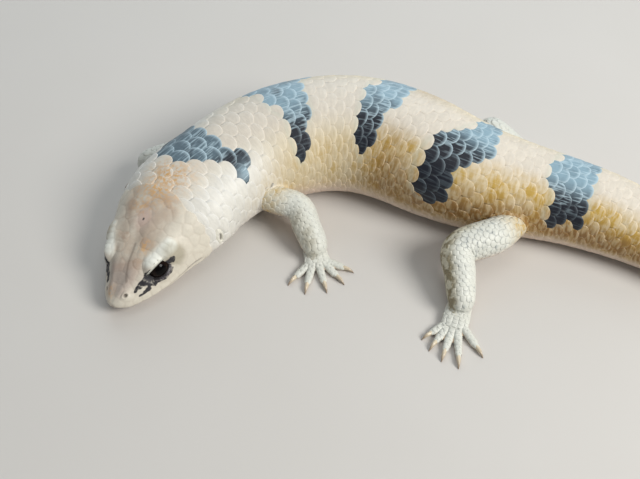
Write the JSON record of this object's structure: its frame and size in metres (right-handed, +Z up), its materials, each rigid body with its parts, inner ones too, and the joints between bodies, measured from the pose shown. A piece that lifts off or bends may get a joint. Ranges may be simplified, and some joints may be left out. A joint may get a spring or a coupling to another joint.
{
  "type": "banded skink",
  "caption": "Life-size still model of a stout banded skink lying on its belly, body bent in an arc, head down, legs out to the sides.",
  "frame": {"origin": "on the floor under the middle of the belly, where it lies flat", "axes": "+Z up, +X towards the tail along the longest side, with the head turned round to -Y"},
  "size_m": [0.1772, 0.1038, 0.0274],
  "materials": {
    "skin": "smooth glossy scales, cream to ochre with blue-black bands",
    "leg_skin": "small glossy pale scales",
    "eye": "wet black"
  },
  "bodies": {
    "root": {"head": "skin", "jaw": "skin", "eye_left": "eye", "eye_right": "eye", "neck": "skin", "torso_front": "skin", "torso_middle": "skin", "torso_rear": "skin", "tail_base": "skin", "tail_middle": "skin", "tail_tip": "skin", "foreleg_left_upper": "leg_skin", "foreleg_left_lower": "leg_skin", "hand_left": "leg_skin", "foreleg_right_upper": "leg_skin", "foreleg_right_lower": "leg_skin", "hand_right": "leg_skin", "hindleg_left_upper": "leg_skin", "hindleg_left_lower": "leg_skin", "foot_left": "leg_skin", "hindleg_right_upper": "leg_skin", "hindleg_right_lower": "leg_skin", "foot_right": "leg_skin"}
  },
  "joints": []
}
